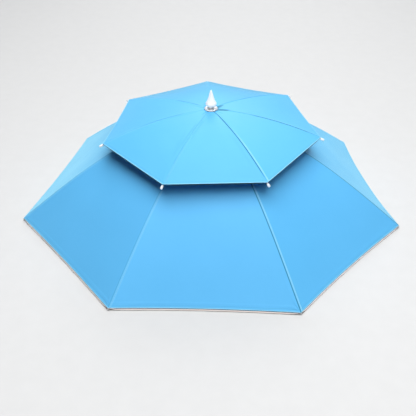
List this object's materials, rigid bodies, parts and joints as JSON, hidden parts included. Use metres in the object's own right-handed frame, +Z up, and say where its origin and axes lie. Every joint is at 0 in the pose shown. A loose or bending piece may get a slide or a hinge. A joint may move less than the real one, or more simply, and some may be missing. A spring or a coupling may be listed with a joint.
{
  "type": "umbrella hat",
  "caption": "Hands-free sunshade worn on the head: a vented two-layer umbrella canopy on ribs, held by a crown pad and a headband.",
  "frame": {"origin": "centre of the crown pad's flat underside, where the wearer's crown touches it", "axes": "+Z up along the post, out through the finial; -Y towards the wearer's front, at the middle of one cloth panel; +X towards the wearer's left; one long rib points to +Y"},
  "size_m": [0.7534, 0.7347, 0.2535],
  "materials": {
    "cloth": "satin woven",
    "white_plastic": "semi-gloss moulded",
    "black_plastic": "matte moulded",
    "plated_steel": "bright plated wire and tube"
  },
  "bodies": {
    "root": {"arm_rivet_1": "plated_steel", "arm_rivet_2": "plated_steel", "arm_rivet_3": "plated_steel", "arm_rivet_4": "plated_steel", "crown_pad": "black_plastic", "finial": "white_plastic", "finial_washer": "white_plastic", "head_arm_1": "black_plastic", "head_arm_2": "black_plastic", "head_arm_3": "black_plastic", "head_arm_4": "black_plastic", "headband": "black_plastic", "long_rib_1": "plated_steel", "long_rib_2": "plated_steel", "long_rib_3": "plated_steel", "long_rib_4": "plated_steel", "long_rib_5": "plated_steel", "long_rib_6": "plated_steel", "long_rib_7": "plated_steel", "lower_hub": "white_plastic", "lower_panel_1": "cloth", "lower_panel_2": "cloth", "lower_panel_3": "cloth", "lower_panel_4": "cloth", "lower_panel_5": "cloth", "lower_panel_6": "cloth", "lower_panel_7": "cloth", "post": "plated_steel", "rib_tip_1": "white_plastic", "rib_tip_2": "white_plastic", "rib_tip_3": "white_plastic", "rib_tip_4": "white_plastic", "rib_tip_5": "white_plastic", "rib_tip_6": "white_plastic", "rib_tip_7": "white_plastic", "runner": "white_plastic", "short_rib_1": "plated_steel", "short_rib_2": "plated_steel", "short_rib_3": "plated_steel", "short_rib_4": "plated_steel", "short_rib_5": "plated_steel", "short_rib_6": "plated_steel", "short_rib_7": "plated_steel", "stretcher_1": "plated_steel", "stretcher_2": "plated_steel", "stretcher_3": "plated_steel", "stretcher_4": "plated_steel", "stretcher_5": "plated_steel", "stretcher_6": "plated_steel", "stretcher_7": "plated_steel", "top_hub": "white_plastic", "upper_panel_1": "cloth", "upper_panel_2": "cloth", "upper_panel_3": "cloth", "upper_panel_4": "cloth", "upper_panel_5": "cloth", "upper_panel_6": "cloth", "upper_panel_7": "cloth"}
  },
  "joints": []
}
